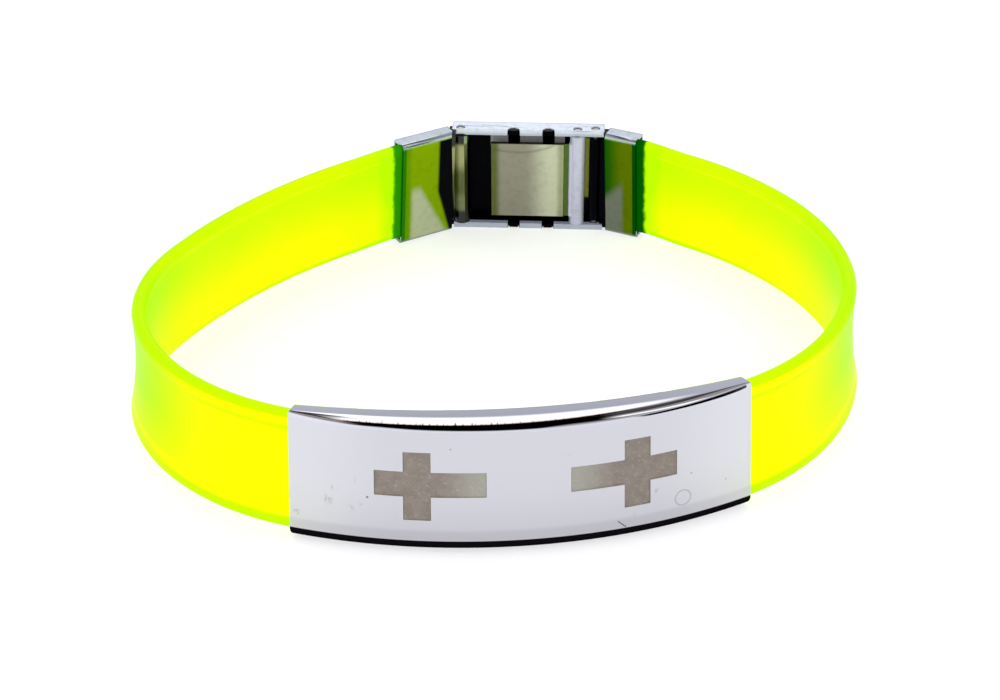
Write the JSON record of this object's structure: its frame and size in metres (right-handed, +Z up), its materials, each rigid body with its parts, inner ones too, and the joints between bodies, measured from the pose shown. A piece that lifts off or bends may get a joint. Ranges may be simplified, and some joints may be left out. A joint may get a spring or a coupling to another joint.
{
  "type": "cross bracelet",
  "caption": "Bracelet of a flat translucent strap standing on edge, with a curved metal plate etched with crosses at the front and a fold-over metal clasp at the back.",
  "frame": {"origin": "on the floor, under the middle of the outline", "axes": "+Z up with the bracelet on its side, -Y toward the front of the plate, +Y toward the clasp, +X to the right seen from the front"},
  "size_m": [0.073, 0.0668, 0.0129],
  "materials": {
    "neon_strap": "translucent, fluorescent yellow-green, smooth and glossy",
    "polished_steel": "mirror polished, with matte etched crosses and faint scratches",
    "clasp_steel": "mirror polished",
    "blade_steel": "satin",
    "pin_steel": "satin"
  },
  "bodies": {
    "root": {"strap": "neon_strap", "plate": "polished_steel", "right_end_cap": "clasp_steel", "left_end_cap": "clasp_steel", "clasp_cover": "clasp_steel", "inner_blade": "blade_steel", "right_cap_pin": "pin_steel", "left_cap_pin": "pin_steel", "inner_blade_pin": "pin_steel"}
  },
  "joints": []
}
